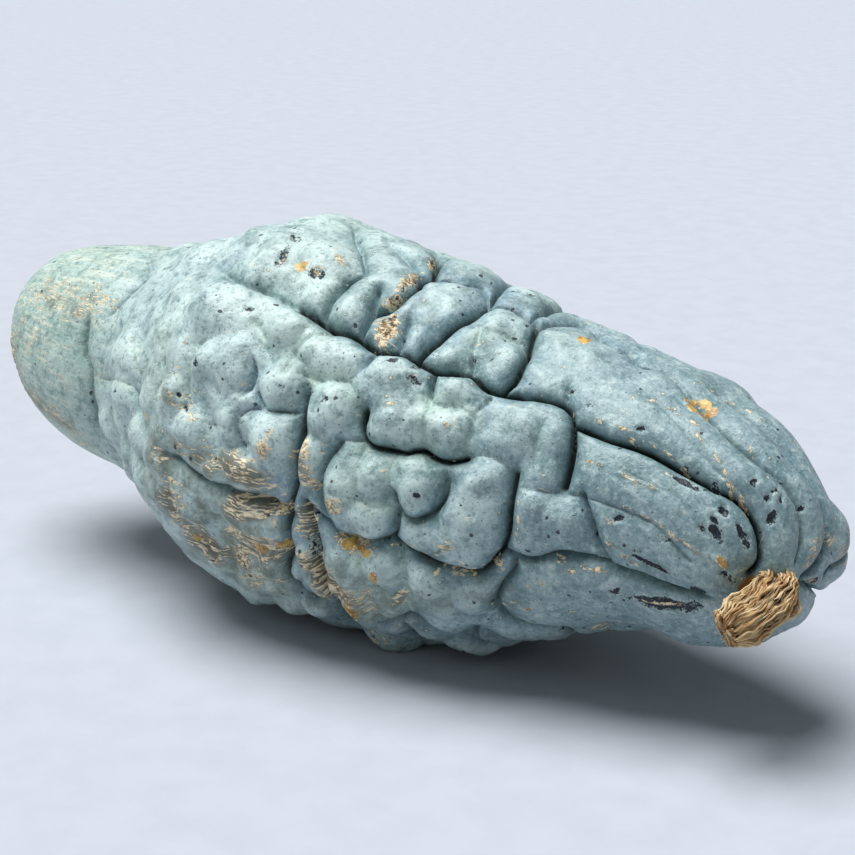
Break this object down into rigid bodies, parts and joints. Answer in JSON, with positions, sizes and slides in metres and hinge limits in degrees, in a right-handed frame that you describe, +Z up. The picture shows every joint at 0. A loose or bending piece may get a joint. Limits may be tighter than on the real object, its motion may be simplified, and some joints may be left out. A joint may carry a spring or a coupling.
{
  "type": "winter squash",
  "caption": "Long spindle-shaped winter squash with a deeply creased, warty blue-green rind, a smooth rounded blossom end and a dry corky stem stub, lying on its side.",
  "frame": {"origin": "on the resting surface, under the middle of the bounding box", "axes": "+Z up; +X along the fruit toward the stem end; -Y toward the side that faces the viewer, +Y to the back"},
  "size_m": [0.5384, 0.2093, 0.2084],
  "materials": {
    "rind": "waxy matt blue-green rind with paler lump tops, dark creases, cream flecks and corky scars",
    "dry_stem": "dry tan corky fibres with dark lengthwise cracks"
  },
  "bodies": {
    "root": {"squash_body": "rind", "stem": "dry_stem"}
  },
  "joints": []
}
